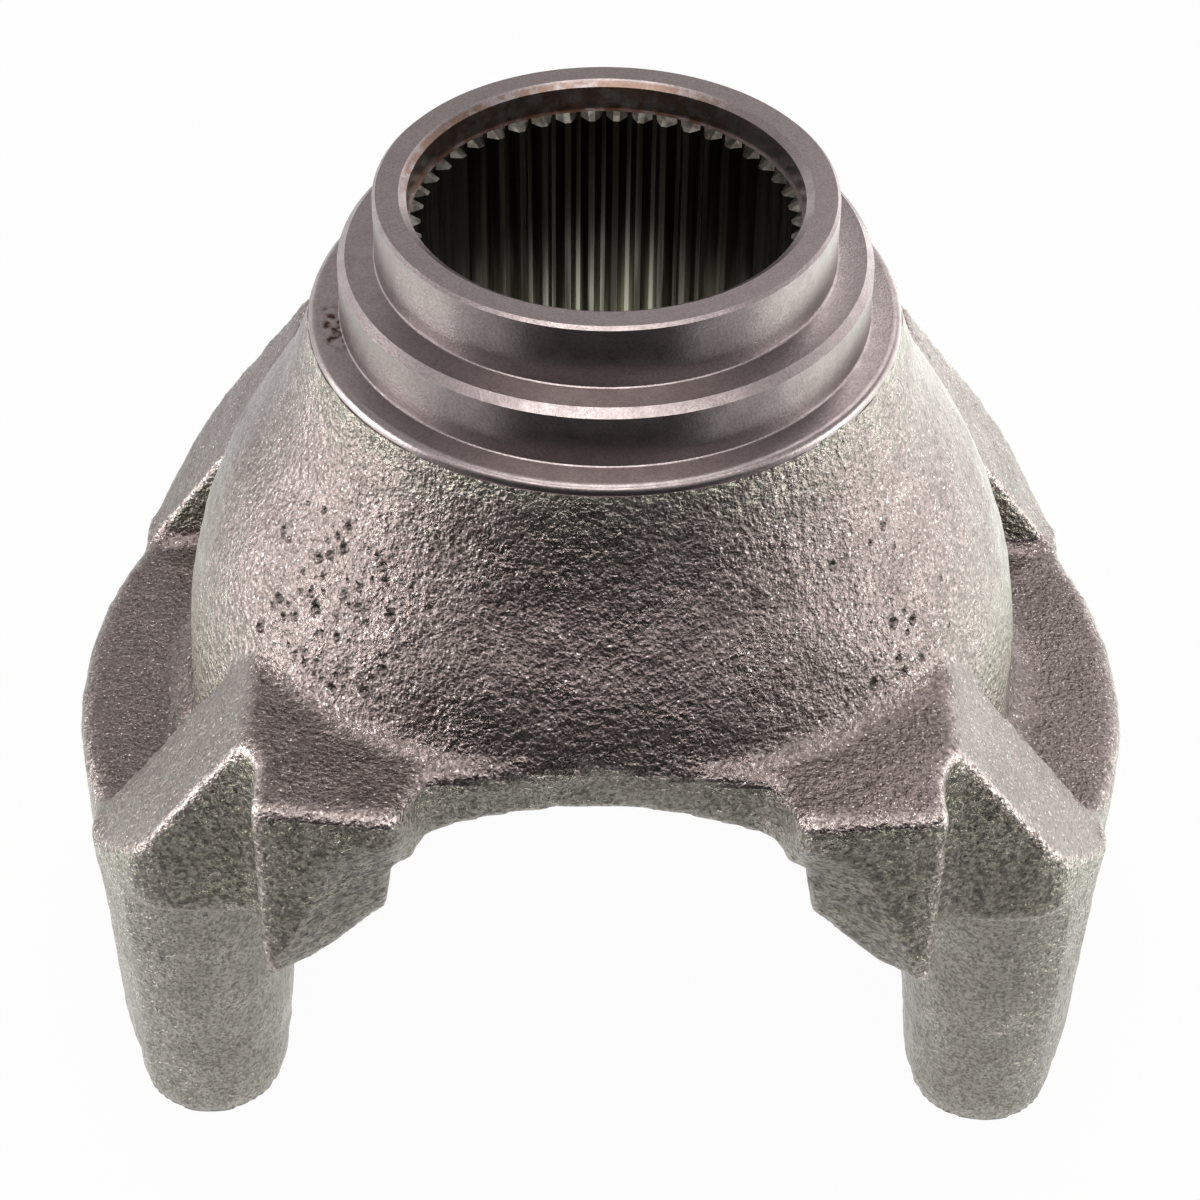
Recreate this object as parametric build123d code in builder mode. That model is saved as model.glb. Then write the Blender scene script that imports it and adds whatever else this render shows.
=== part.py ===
from build123d import *
import math
import os

# Forged end yoke of a driveline axle. One forging: a splined hub with a turned seal collar, a bell below it,
# and two ears that each end in a pair of bosses either side of a half-round bearing saddle.
# Millimetres. The plane of the ear ends is Z = 0, the spline axis is Z, the bearing axis runs along X.

# Levels above the ear ends
hub_face = 158.5
shelf_level = 96.5
shoulder_level = 59.5

# Turned collar, from the hub face down
rim_r = 35.5
rim_length = 10.7
rim_break = 0.5
seal_r = 41.275
seal_length = 8.8
seal_lead = 1.2
root_bevel = 0.5
flange_r = 46.2
flange_round = 1.5

# Bell, a cove under the flange that swells into an upright wall
bell_cove_r = 56.5
bell_cove_drop = 45.3
bell_wall_r = 69.4
bell_wall_drop = 88.0
bell_foot_fillet = 6.0

# Ears: a wall turned to the swing circle, with a flat shoulder on top
swing_r = 89.5
swing_draft = 1.2
shoulder_round = 3.0
ear_half_width = 37.0

# Corner columns, one over each boss, with a sloping top
column_inside = 34.0
column_outside = 57.0
column_wall_r = 92.0
column_ledge = 1.5
slope_top_x = 53.8
slope_foot_x = 81.8
slope_crown_round = 4.0
column_corner_share = 0.519
column_root_fillet = 5.0
column_foot_fillet = 3.0

# Bosses at the ear ends
boss_x = 67.2
boss_y = 38.1
boss_end_r = 12.3
boss_draft_angle = 3.6
boss_end_round = 2.5

# Shelf and its four fins
lip_y = 64.2
fin_inside_x = 30.0
fin_outside_x = 51.8
fin_tip_inside_y = 73.6
fin_tip_outside_y = 71.6
fin_corner_round = 2.0
fin_root_round = 3.5
shelf_edge_round = 1.8
shelf_fillet = 4.5
shelf_fillet_bite = 0.2

# Throat between the ears, seen along Y
throat_crown = 90.1
throat_crown_end_x = 20.6
throat_crown_end = 86.5
throat_corner_x = 31.3
throat_corner = 82.5
throat_flare_top_x = 32.6
throat_flare_top = 70.6
throat_flare_foot_x = 49.8
throat_flare_foot = 54.0
throat_corner_round = 13.0
throat_flare_round = 4.0

# Bevel that opens the throat towards each fin
bevel_inner_y = 66.0
bevel_outer_y = 75.0
bevel_start = 83.0
bevel_start_x = 25.5
bevel_turn = 76.0
bevel_inset = 0.8
bevel_head_x = 43.1
bevel_head_turn_x = 36.0
bevel_head = 93.4
bevel_foot_x = 51.4
bevel_foot = 62.2

# Bearing saddle, retaining shoulder and strap screw holes
saddle_r = 24.6
saddle_reach = 77.4
retainer_height = 3.0
screw_r = 5.75
screw_depth = 30.0
screw_mouth = 1.0

# Bore: mouth bevel, counterbore, spline and nut seat
mouth_r = 31.5
mouth_depth = 0.8
counterbore_r = 30.3
counterbore_depth = 5.0
spline_teeth = 46
spline_root_r = 29.9
spline_tip_r = 28.3
spline_gap_tip = 2.85
spline_gap_root = 0.7
spline_turn = 4.88
spline_lead = 0.9
nut_seat_r = 33.0
nut_seat_level = 96.0

# Dependent sizes
rim_foot = hub_face - rim_length
seal_top = rim_foot - seal_lead
seal_foot = seal_top - seal_length
flange_low = seal_foot - flange_round
bell_cove_level = hub_face - bell_cove_drop
bell_wall_level = hub_face - bell_wall_drop
boss_top_r = boss_end_r + shoulder_level * math.tan(math.radians(boss_draft_angle))
throat_foot_x = boss_x - boss_end_r
fin_root_x = fin_inside_x - fin_root_round
column_corner_x = math.sqrt(column_wall_r**2 - column_outside**2)
column_corner_round = column_corner_share * (column_corner_x - fin_outside_x - column_root_fillet)
column_foot_end = column_inside - column_foot_fillet
column_foot_x = math.sqrt(column_wall_r**2 - column_foot_end**2)
column_root_end = column_outside + column_root_fillet
slope_fall = (shelf_level - shoulder_level) / (slope_foot_x - slope_top_x)
slope_end_level = shoulder_level - slope_fall * (column_wall_r - slope_foot_x)
swell_step = bell_wall_r - bell_cove_r
swell_r = (swell_step**2 + (bell_cove_level - bell_wall_level) ** 2) / swell_step / 2
swell_x = bell_wall_r - swell_r
shelf_fillet_level = shelf_level + shelf_fillet
shelf_fillet_x = swell_x + math.sqrt((swell_r + shelf_fillet) ** 2 - (shelf_fillet_level - bell_wall_level) ** 2)
fillet_share = swell_r / (swell_r + shelf_fillet)
shelf_fillet_top_x = swell_x + (shelf_fillet_x - swell_x) * fillet_share - shelf_fillet_bite
shelf_fillet_top = bell_wall_level + (shelf_fillet_level - bell_wall_level) * fillet_share
counterbore_floor = hub_face - counterbore_depth
spline_bed_r = spline_tip_r - spline_lead
spline_flank = (spline_gap_tip - spline_gap_root) / (spline_root_r - spline_tip_r)
spline_gap_bed = spline_gap_tip + spline_flank * spline_lead
clear = 2 * swing_r

# Blank of the outer wall: the ears and bosses are trimmed to it
with BuildPart() as wall:
    with BuildSketch(Plane.XZ):
        with BuildLine():
            Polyline(
                (0, 0),
                (swing_r, 0),
                (column_wall_r, shoulder_level),
                (column_wall_r - swing_draft, hub_face),
                (0, hub_face),
                close=True,
            )
        make_face()
    revolve(axis=Axis.Z)

# Ear wall between the bosses, with the rounded shoulder edge
with BuildPart() as ears:
    with BuildSketch(Plane.XZ) as ear_side:
        with BuildLine():
            Polyline(
                (0, 0),
                (swing_r - swing_draft, 0),
                (swing_r, shoulder_level),
                (0, shoulder_level),
                close=True,
            )
        make_face()
        shoulder_edge = ear_side.vertices().sort_by(Axis.X)[-1]
        fillet(shoulder_edge, shoulder_round)
    revolve(axis=Axis.Z)
    with BuildSketch(Plane.XY):
        Rectangle(clear, 2 * ear_half_width)
    extrude(amount=hub_face, mode=Mode.INTERSECT)

# One corner column with its sloping top, in the quarter +X +Y: plan, side and end section met together
with BuildPart() as column:
    with BuildSketch(Plane.XY.offset(shoulder_level - column_ledge)) as column_plan:
        with BuildLine():
            Polyline(
                (column_corner_x, column_outside),
                (fin_outside_x, column_outside),
                (fin_outside_x, column_root_end),
                (fin_inside_x, column_root_end),
                (fin_inside_x, column_foot_end),
                (column_foot_x, column_foot_end),
            )
            RadiusArc((column_corner_x, column_outside), (column_foot_x, column_foot_end), column_wall_r)
        make_face()
        root = column_plan.vertices().sort_by_distance((fin_outside_x, column_outside, shoulder_level))[0]
        fillet(root, column_root_fillet)
        corner = column_plan.vertices().sort_by_distance((column_corner_x, column_outside, shoulder_level))[0]
        fillet(corner, column_corner_round)
    extrude(amount=hub_face - shoulder_level)
    with BuildSketch(Plane.XZ) as slope_side:
        with BuildLine():
            Polyline(
                (0, 0),
                (column_wall_r, 0),
                (column_wall_r, slope_end_level),
                (slope_top_x, shelf_level),
                (0, shelf_level),
                close=True,
            )
        make_face()
        crown = slope_side.vertices().sort_by_distance((slope_top_x, 0, shelf_level))[0]
        fillet(crown, slope_crown_round)
    extrude(amount=-clear, mode=Mode.INTERSECT)
    with BuildSketch(Plane.YZ):
        with BuildLine():
            Polyline(
                (column_inside, shoulder_level + column_foot_fillet),
                (column_inside, hub_face),
                (clear, hub_face),
                (clear, 0),
                (column_foot_end, 0),
                (column_foot_end, shoulder_level),
            )
            TangentArc(
                (column_foot_end, shoulder_level),
                (column_inside, shoulder_level + column_foot_fillet),
                tangent=(1, 0),
            )
        make_face()
    extrude(amount=clear, mode=Mode.INTERSECT)

# One boss under the column
with BuildPart() as boss:
    with Locations((boss_x, boss_y, shoulder_level / 2)):
        Cone(bottom_radius=boss_end_r, top_radius=boss_top_r, height=shoulder_level)
    fillet(boss.edges().group_by(Axis.Z)[0], boss_end_round)

# All four columns and bosses, trimmed to the outer wall
with BuildPart() as corners:
    add(column.part)
    add(boss.part)
    add(wall.part, mode=Mode.INTERSECT)
    mirror(about=Plane.YZ)
    mirror(about=Plane.XZ)

# Shelf with its four fins
with BuildPart() as shelf:
    with BuildSketch(Plane.XY.offset(shoulder_level)) as shelf_plan:
        with BuildLine():
            Polyline(
                (0, 0),
                (fin_outside_x, 0),
                (fin_outside_x, fin_tip_outside_y),
                (fin_inside_x, fin_tip_inside_y),
                (fin_root_x, lip_y),
                (0, lip_y),
                close=True,
            )
        make_face()
        fillet(shelf_plan.vertices().group_by(Axis.Y)[-1], fin_corner_round)
        fillet(shelf_plan.vertices().sort_by_distance((fin_outside_x, fin_tip_outside_y, 0))[0], fin_corner_round)
        fillet(shelf_plan.vertices().sort_by_distance((fin_root_x, lip_y, 0))[0], fin_root_round)
        mirror(about=Plane.YZ)
        mirror(about=Plane.XZ)
    extrude(amount=shelf_level - shoulder_level)
    fillet(shelf.faces().sort_by(Axis.Z)[-1].outer_wire().edges(), shelf_edge_round)

# Fillet between the bell and the shelf, kept inside the shelf outline
with BuildPart() as band:
    with BuildSketch(Plane.XZ):
        with BuildLine():
            Polyline(
                (shelf_fillet_x, shelf_level),
                (seal_r, shelf_level),
                (seal_r, shelf_fillet_top),
                (shelf_fillet_top_x, shelf_fillet_top),
            )
            RadiusArc((shelf_fillet_top_x, shelf_fillet_top), (shelf_fillet_x, shelf_level), -shelf_fillet)
        make_face()
    revolve(axis=Axis.Z)
    with BuildSketch(Plane.XZ) as slope_limit:
        with BuildLine():
            Polyline(
                (0, shelf_level),
                (slope_top_x, shelf_level),
                (slope_top_x - shelf_fillet / slope_fall, shelf_fillet_level),
                (0, shelf_fillet_level),
                close=True,
            )
        make_face()
        mirror(about=Plane.YZ)
    extrude(amount=clear, both=True, mode=Mode.INTERSECT)

# Trim cutter for the lips between the fins
with BuildPart() as trim:
    with BuildSketch(Plane.XY) as trim_plan:
        with BuildLine():
            Polyline(
                (fin_root_x, lip_y),
                (fin_inside_x, fin_tip_inside_y),
                (fin_inside_x, clear),
                (-fin_inside_x, clear),
                (-fin_inside_x, fin_tip_inside_y),
                (-fin_root_x, lip_y),
                close=True,
            )
        make_face()
        fillet(trim_plan.vertices().group_by(Axis.Y)[0], fin_root_round)
        mirror(about=Plane.XZ)
    extrude(amount=hub_face)

# Bevel cutter, one for each fin
with BuildPart() as bevel:
    with BuildSketch(Plane.XZ.offset(-bevel_inner_y)):
        with BuildLine():
            Polyline(
                (bevel_start_x, bevel_start),
                (throat_corner_x - bevel_inset, bevel_turn),
                (throat_flare_top_x - bevel_inset, throat_flare_top - bevel_inset),
                (throat_flare_foot_x - bevel_inset, throat_flare_foot - bevel_inset),
                (throat_flare_foot_x - bevel_inset, 0),
                (0, 0),
                (0, bevel_start),
                close=True,
            )
        make_face()
    with BuildSketch(Plane.XZ.offset(-bevel_outer_y)):
        with BuildLine():
            Polyline(
                (bevel_start_x, bevel_head),
                (bevel_head_turn_x, bevel_head),
                (bevel_head_x, bevel_head),
                (bevel_foot_x, bevel_foot),
                (bevel_foot_x, 0),
                (0, 0),
                (0, bevel_head),
                close=True,
            )
        make_face()
    loft(ruled=True)
    mirror(about=Plane.YZ)
    mirror(about=Plane.XZ)

# Throat cutter
with BuildPart() as throat:
    with BuildSketch(Plane.XZ) as throat_section:
        with BuildLine():
            Polyline(
                (0, throat_crown),
                (0, -clear),
                (throat_foot_x, -clear),
                (throat_foot_x, 0),
                (throat_flare_foot_x, throat_flare_foot),
                (throat_flare_top_x, throat_flare_top),
                (throat_corner_x, throat_corner),
                (throat_crown_end_x, throat_crown_end),
            )
            TangentArc((0, throat_crown), (throat_crown_end_x, throat_crown_end), tangent=(1, 0))
        make_face()
        jamb_corner = throat_section.vertices().sort_by_distance((throat_corner_x, 0, throat_corner))[0]
        fillet(jamb_corner, throat_corner_round)
        flare_ends = throat_section.vertices().filter_by_position(
            Axis.Z, throat_flare_foot - throat_flare_round, throat_flare_top + throat_flare_round
        )
        fillet(flare_ends, throat_flare_round)
        mirror(about=Plane.YZ)
    extrude(amount=clear, both=True)

# Spline groove cutter, from the nut seat up to the counterbore
with BuildPart() as groove:
    with BuildSketch(Plane.XY.offset(nut_seat_level)):
        with BuildLine():
            Polyline(
                (spline_bed_r, -spline_gap_bed / 2),
                (spline_root_r, -spline_gap_root / 2),
                (spline_root_r, spline_gap_root / 2),
                (spline_bed_r, spline_gap_bed / 2),
                close=True,
            )
        make_face()
    extrude(amount=counterbore_floor - nut_seat_level)

# The forging
with BuildPart() as yoke:
    with BuildSketch(Plane.XZ):
        with BuildLine():
            wall_end = (bell_wall_r, bell_wall_level)
            foot_start = (bell_wall_r, shoulder_level + bell_foot_fillet)
            foot_end = (bell_wall_r + bell_foot_fillet, shoulder_level)
            swell = TangentArc(wall_end, (bell_cove_r, bell_cove_level), tangent=(0, 1))
            TangentArc(swell @ 1, (flange_r, flange_low), tangent=swell % 1)
            Line(wall_end, foot_start)
            TangentArc(foot_start, foot_end, tangent=(0, -1))
            Polyline(foot_end, (0, shoulder_level), (0, hub_face), (rim_r - rim_break, hub_face))
            Polyline((rim_r - rim_break, hub_face), (rim_r, hub_face - rim_break), (rim_r, rim_foot + root_bevel))
            Polyline((rim_r, rim_foot + root_bevel), (rim_r + root_bevel, rim_foot), (seal_r - seal_lead, rim_foot))
            Polyline((seal_r - seal_lead, rim_foot), (seal_r, seal_top), (seal_r, seal_foot + root_bevel))
            Line((seal_r, seal_foot + root_bevel), (seal_r + root_bevel, seal_foot))
            Line((seal_r + root_bevel, seal_foot), (flange_r - flange_round, seal_foot))
            TangentArc((flange_r - flange_round, seal_foot), (flange_r, flange_low), tangent=(1, 0))
        make_face()
    revolve(axis=Axis.Z)
    add(band.part)
    add(trim.part, mode=Mode.SUBTRACT)
    add(ears.part)
    add(shelf.part)
    add(corners.part)

    # Throat, the bevels beside the fins, and the bearing saddle with its retaining shoulder
    add(throat.part, mode=Mode.SUBTRACT)
    add(bevel.part, mode=Mode.SUBTRACT)
    with BuildSketch(Plane.YZ):
        Circle(saddle_r)
    extrude(amount=saddle_reach, both=True, mode=Mode.SUBTRACT)
    with BuildSketch(Plane.YZ):
        Circle(saddle_r - retainer_height)
    extrude(amount=clear, both=True, mode=Mode.SUBTRACT)

    # Strap screw holes
    with Locations(Plane((0, 0, 0), z_dir=(0, 0, -1))):
        with GridLocations(2 * boss_x, 2 * boss_y, 2, 2):
            CounterSinkHole(screw_r, screw_r + screw_mouth, depth=screw_depth)

    # Bore, spline and nut seat
    with BuildSketch(Plane.XZ):
        with BuildLine():
            Polyline(
                (0, hub_face),
                (mouth_r, hub_face),
                (counterbore_r, hub_face - mouth_depth),
                (counterbore_r, counterbore_floor),
                (spline_root_r, counterbore_floor),
                (spline_tip_r, counterbore_floor - spline_lead),
                (spline_tip_r, nut_seat_level + spline_lead),
                (spline_root_r, nut_seat_level),
                (nut_seat_r, nut_seat_level),
                (nut_seat_r, throat_corner),
                (0, throat_corner),
                close=True,
            )
        make_face()
    revolve(axis=Axis.Z, mode=Mode.SUBTRACT)
    with PolarLocations(0, spline_teeth, start_angle=spline_turn):
        add(groove.part, mode=Mode.SUBTRACT)

yoke.part.label = "yoke"
os.makedirs("parts", exist_ok=True)
export_step(yoke.part, "parts/yoke.step")
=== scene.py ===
"""Forged end yoke on a white studio floor.

The forging is made the way the real one is: a rough blank with soft edges is taken from the frame's
solid, its skin is roughened and pitted, and the machined surfaces are then cut crisp into it: ear ends,
bearing seats, strap screw holes, seal collar and splined bore. Metres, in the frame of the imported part.
"""
import logging
import math
import random
from dataclasses import dataclass
from enum import Enum

import bmesh
import bpy
import numpy as np
from mathutils import Matrix, Vector, noise


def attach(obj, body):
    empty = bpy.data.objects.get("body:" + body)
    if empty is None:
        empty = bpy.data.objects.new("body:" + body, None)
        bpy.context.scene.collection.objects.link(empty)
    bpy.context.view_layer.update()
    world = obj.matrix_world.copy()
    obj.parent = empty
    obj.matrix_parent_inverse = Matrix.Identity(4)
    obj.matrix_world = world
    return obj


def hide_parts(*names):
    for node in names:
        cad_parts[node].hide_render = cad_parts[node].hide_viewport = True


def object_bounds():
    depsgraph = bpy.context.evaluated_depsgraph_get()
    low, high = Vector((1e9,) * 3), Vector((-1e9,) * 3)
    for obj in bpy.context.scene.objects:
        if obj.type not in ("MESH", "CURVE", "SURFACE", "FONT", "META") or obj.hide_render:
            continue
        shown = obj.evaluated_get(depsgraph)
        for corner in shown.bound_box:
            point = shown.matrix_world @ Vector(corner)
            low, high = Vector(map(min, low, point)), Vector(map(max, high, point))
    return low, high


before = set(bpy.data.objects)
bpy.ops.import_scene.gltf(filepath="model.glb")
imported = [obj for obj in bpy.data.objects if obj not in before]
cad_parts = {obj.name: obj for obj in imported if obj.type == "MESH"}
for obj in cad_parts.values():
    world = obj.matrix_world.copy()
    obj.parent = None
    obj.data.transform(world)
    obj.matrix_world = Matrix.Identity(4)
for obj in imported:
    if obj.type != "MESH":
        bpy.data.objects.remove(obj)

CAD_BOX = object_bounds()
NODE = "yoke"
BODY = "root"
MM = 0.001
UPRIGHT = (0.0, 0.0, 1.0)

log = logging.getLogger("yoke")

Ring = tuple[float, float]
Ramp = tuple[float, float]
Colour = tuple[float, float, float]


class Surface(Enum):
    """The three surfaces of the yoke, in the order of the piece's material slots."""

    FORGED = 0
    TURNED = 1
    BROACHED = 2


class Axis(Enum):
    """The axis that a turned cutter stands on."""

    HUB = "z"
    BEARING = "x"


def link(obj: bpy.types.Object) -> bpy.types.Object:
    """Puts an object into the scene.

    Args:
        obj: A new object.

    Returns:
        The same object.
    """
    bpy.context.scene.collection.objects.link(obj)
    return obj


def baked(obj: bpy.types.Object) -> bpy.types.Object:
    """Applies every modifier of an object to its mesh.

    Args:
        obj: A mesh object.

    Returns:
        The same object, with no modifier left on it.
    """
    graph = bpy.context.evaluated_depsgraph_get()
    mesh = bpy.data.meshes.new_from_object(obj.evaluated_get(graph))
    obj.modifiers.clear()
    obj.data = mesh
    return obj


def corner_arc(start: Ring, corner: Ring, end: Ring, steps: int = 5) -> list[Ring]:
    """Rounds a corner between two points by a quadratic arc.

    Args:
        start: First point of the arc.
        corner: The sharp corner that the arc replaces.
        end: Last point of the arc.
        steps: Number of straight runs in the arc.

    Returns:
        The points from start to end.
    """
    points = []
    for i in range(steps + 1):
        t = i / steps
        a, b, c = (1 - t) ** 2, 2 * t * (1 - t), t**2
        points.append((a * start[0] + b * corner[0] + c * end[0], a * start[1] + b * corner[1] + c * end[1]))
    return points


def turned_solid(
    name: str,
    rings: list[list[Vector]],
    surface: Surface,
) -> bpy.types.Object:
    """Skins a stack of rings into one closed solid.

    Args:
        name: Name of the new object.
        rings: Rings of points in millimetres. A ring of one point closes the stack on its axis, and a
            stack whose ends are both full rings closes on itself.
        surface: The surface that the solid leaves where it cuts.

    Returns:
        The solid, linked into the scene.
    """
    bm = bmesh.new()
    loops = [[bm.verts.new(p * MM) for p in ring] for ring in rings]
    pairs = list(zip(loops, loops[1:]))
    if len(loops[0]) > 1:
        pairs.append((loops[-1], loops[0]))
    for low, high in pairs:
        count = max(len(low), len(high))
        for i in range(count):
            j = (i + 1) % count
            corners = {
                low[i % len(low)]: None,
                low[j % len(low)]: None,
                high[j % len(high)]: None,
                high[i % len(high)]: None,
            }
            bm.faces.new(list(corners))
    for face in bm.faces:
        face.material_index = surface.value
    bmesh.ops.recalc_face_normals(bm, faces=bm.faces)
    mesh = bpy.data.meshes.new(name)
    bm.to_mesh(mesh)
    bm.free()
    return link(bpy.data.objects.new(name, mesh))


def lathe(
    name: str,
    profile: list[Ring],
    surface: Surface = Surface.TURNED,
    axis: Axis = Axis.HUB,
    centre: Ring = (0.0, 0.0),
    segments: int = 144,
) -> bpy.types.Object:
    """Turns a profile of radius and height into a solid.

    Args:
        name: Name of the new object.
        profile: Points of radius and height along the axis, in millimetres.
        surface: The surface that the solid leaves where it cuts.
        axis: The axis that it stands on.
        centre: Where that axis stands, in millimetres, for a solid on the hub axis.
        segments: Number of facets round the axis.

    Returns:
        The turned solid.
    """
    rings = []
    for radius, height in profile:
        count = segments if radius > 0 else 1
        ring = []
        for i in range(count):
            turn = 2 * math.pi * i / segments
            across, along = radius * math.cos(turn), radius * math.sin(turn)
            if axis is Axis.HUB:
                ring.append(Vector((centre[0] + across, centre[1] + along, height)))
            else:
                ring.append(Vector((height, across, along)))
        rings.append(ring)
    return turned_solid(name, rings, surface)


class Shader:
    """A short way to write a node tree for one material."""

    def __init__(self, name: str) -> None:
        """Starts an empty material with a principled shader.

        Args:
            name: Name of the material.
        """
        self.material = bpy.data.materials.new(name)
        self.material.use_nodes = True
        self.tree = self.material.node_tree
        self.principled = self.tree.nodes["Principled BSDF"]
        coordinates = self.tree.nodes.new("ShaderNodeTexCoord")
        self.place = coordinates.outputs["Object"]
        self.geometry = self.tree.nodes.new("ShaderNodeNewGeometry")

    def math(self, operation: str, a: object, b: object = 0.0) -> bpy.types.NodeSocket:
        """Adds a math node on two numbers or sockets.

        Args:
            operation: Blender's name of the operation.
            a: First number or socket.
            b: Second number or socket.

        Returns:
            The result's socket.
        """
        made = self.tree.nodes.new("ShaderNodeMath")
        made.operation = operation
        for index, value in enumerate((a, b)):
            if isinstance(value, bpy.types.NodeSocket):
                self.tree.links.new(value, made.inputs[index])
            else:
                made.inputs[index].default_value = value
        return made.outputs[0]

    def times(self, a: object, b: object) -> bpy.types.NodeSocket:
        """Multiplies two numbers or sockets.

        Args:
            a: First number or socket.
            b: Second number or socket.

        Returns:
            The product's socket.
        """
        return self.math("MULTIPLY", a, b)

    def plus(self, a: object, b: object) -> bpy.types.NodeSocket:
        """Adds two numbers or sockets.

        Args:
            a: First number or socket.
            b: Second number or socket.

        Returns:
            The sum's socket.
        """
        return self.math("ADD", a, b)

    def ramp(self, value: bpy.types.NodeSocket, low: float, high: float) -> bpy.types.NodeSocket:
        """Adds a smooth step of a value.

        Args:
            value: The value to step.
            low: Where the step starts.
            high: Where it ends, which may be below its start.

        Returns:
            A socket from 0 to 1.
        """
        made = self.tree.nodes.new("ShaderNodeMapRange")
        made.interpolation_type = "SMOOTHSTEP"
        self.tree.links.new(value, made.inputs["Value"])
        made.inputs["From Min"].default_value = low
        made.inputs["From Max"].default_value = high
        return made.outputs["Result"]

    def grain(self, size_mm: float, detail: float, place: object = None) -> bpy.types.NodeSocket:
        """Adds a noise texture.

        Args:
            size_mm: Width of its lumps in millimetres.
            detail: How many finer layers lie over them.
            place: Where it is read, or None for the object's own place.

        Returns:
            The noise's socket.
        """
        made = self.tree.nodes.new("ShaderNodeTexNoise")
        made.inputs["Scale"].default_value = 1 / (size_mm * MM)
        made.inputs["Detail"].default_value = detail
        self.tree.links.new(place or self.place, made.inputs["Vector"])
        return made.outputs["Fac"]

    def cells(self, size_mm: float) -> bpy.types.NodeSocket:
        """Adds a cell texture.

        Args:
            size_mm: Width of its cells in millimetres.

        Returns:
            The socket of the distance from the nearest centre.
        """
        made = self.tree.nodes.new("ShaderNodeTexVoronoi")
        made.inputs["Scale"].default_value = 1 / (size_mm * MM)
        self.tree.links.new(self.place, made.inputs["Vector"])
        return made.outputs["Distance"]

    def mix(self, share: object, a: object, b: object) -> bpy.types.NodeSocket:
        """Adds a mix of two colours or sockets.

        Args:
            share: How much of the second one shows.
            a: First colour, number or socket.
            b: Second one.

        Returns:
            The mix's socket.
        """
        made = self.tree.nodes.new("ShaderNodeMix")
        made.data_type = "RGBA"
        for socket, value in zip((made.inputs[0], made.inputs[6], made.inputs[7]), (share, a, b)):
            if isinstance(value, bpy.types.NodeSocket):
                self.tree.links.new(value, socket)
            elif isinstance(value, tuple):
                socket.default_value = (*value, 1.0)
            else:
                socket.default_value = value
        return made.outputs[2]

    def attribute(self, name: str) -> bpy.types.NodeSocket:
        """Reads a mesh attribute.

        Args:
            name: The attribute's name.

        Returns:
            Its socket.
        """
        made = self.tree.nodes.new("ShaderNodeAttribute")
        made.attribute_name = name
        return made.outputs["Fac"]

    def split(self, vector: bpy.types.NodeSocket) -> list[bpy.types.NodeSocket]:
        """Splits a vector into its three parts.

        Args:
            vector: The socket to split.

        Returns:
            The sockets of x, y and z.
        """
        made = self.tree.nodes.new("ShaderNodeSeparateXYZ")
        self.tree.links.new(vector, made.inputs[0])
        return list(made.outputs)

    def join(self, x: object, y: object, z: object) -> bpy.types.NodeSocket:
        """Joins three numbers or sockets into a vector.

        Args:
            x: First part.
            y: Second part.
            z: Third part.

        Returns:
            The vector's socket.
        """
        made = self.tree.nodes.new("ShaderNodeCombineXYZ")
        for index, value in enumerate((x, y, z)):
            if isinstance(value, bpy.types.NodeSocket):
                self.tree.links.new(value, made.inputs[index])
            else:
                made.inputs[index].default_value = value
        return made.outputs[0]

    def relief(
        self, height: bpy.types.NodeSocket, depth_mm: float, under: object = None
    ) -> bpy.types.NodeSocket:
        """Adds a bump on top of another normal.

        Args:
            height: The height's socket.
            depth_mm: How deep a height of 1 is.
            under: The normal that it lies on, or None for the surface's own.

        Returns:
            The new normal's socket.
        """
        made = self.tree.nodes.new("ShaderNodeBump")
        made.inputs["Distance"].default_value = depth_mm * MM
        self.tree.links.new(height, made.inputs["Height"])
        if under is not None:
            self.tree.links.new(under, made.inputs["Normal"])
        return made.outputs["Normal"]

    def finish(self, **sockets: object) -> bpy.types.Material:
        """Wires the shader's sockets, written with underscores for spaces.

        Args:
            **sockets: Numbers or sockets by the shader's own names.

        Returns:
            The finished material.
        """
        for key, value in sockets.items():
            socket = self.principled.inputs[key.replace("_", " ").title()]
            if isinstance(value, bpy.types.NodeSocket):
                self.tree.links.new(value, socket)
            else:
                socket.default_value = value
        return self.material


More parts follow.
